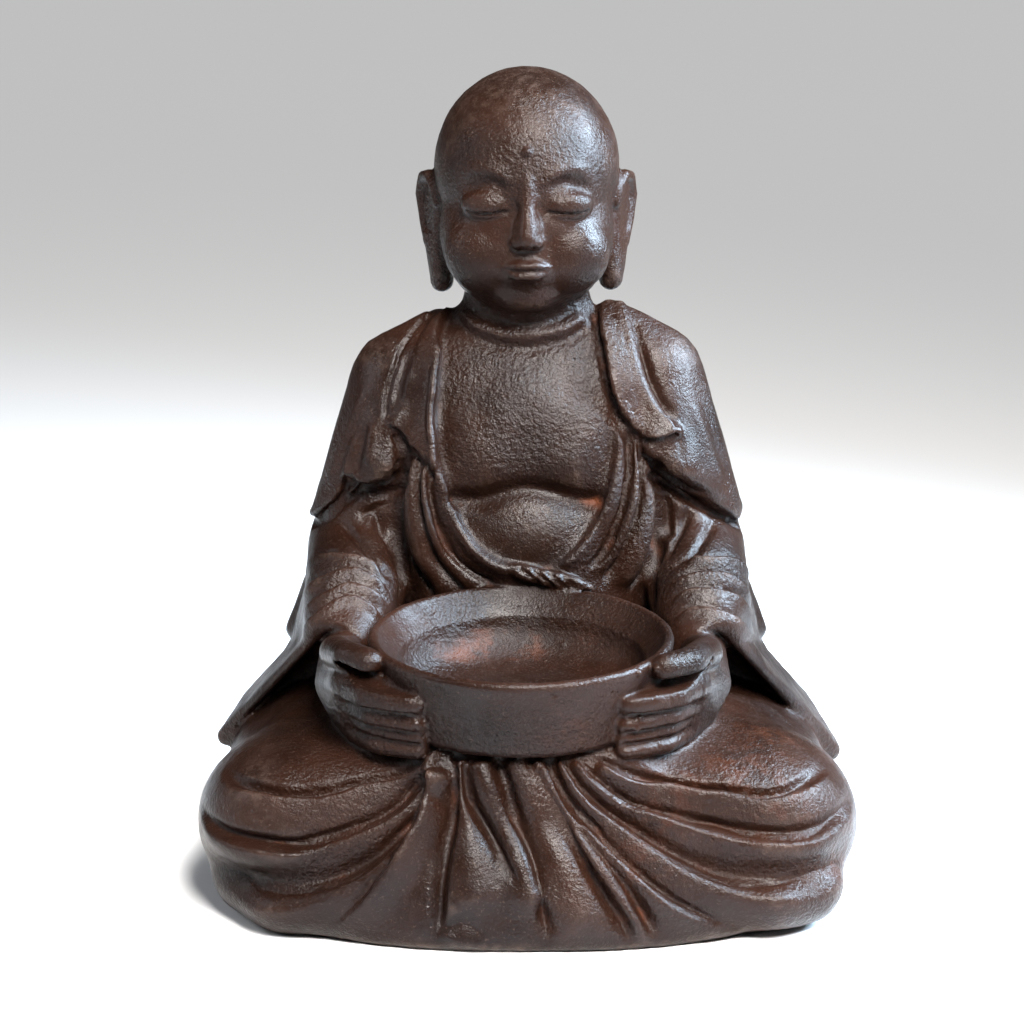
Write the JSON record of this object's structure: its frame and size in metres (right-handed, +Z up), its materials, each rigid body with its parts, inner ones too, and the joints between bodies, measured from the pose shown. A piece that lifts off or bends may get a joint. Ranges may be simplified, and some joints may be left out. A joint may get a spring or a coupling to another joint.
{
  "type": "buddha sculpture",
  "caption": "Seated robed buddha with crossed legs holding a round open bowl in both hands on its lap, cast in one piece, standing on a flat base.",
  "frame": {"origin": "bottom centre of the bounding box, on the ground under the figure's waist", "axes": "+Z up to the crown, the figure faces -Y, +X is on the viewer's right when looking at its face"},
  "size_m": [0.5, 0.4102, 0.5986],
  "materials": {
    "cast_fibreglass": "dark brown paint with a semi-gloss sheen over rough cast fibreglass, rust tint in the hollows"
  },
  "bodies": {
    "root": {"buddha_sculpture": "cast_fibreglass"}
  },
  "joints": []
}
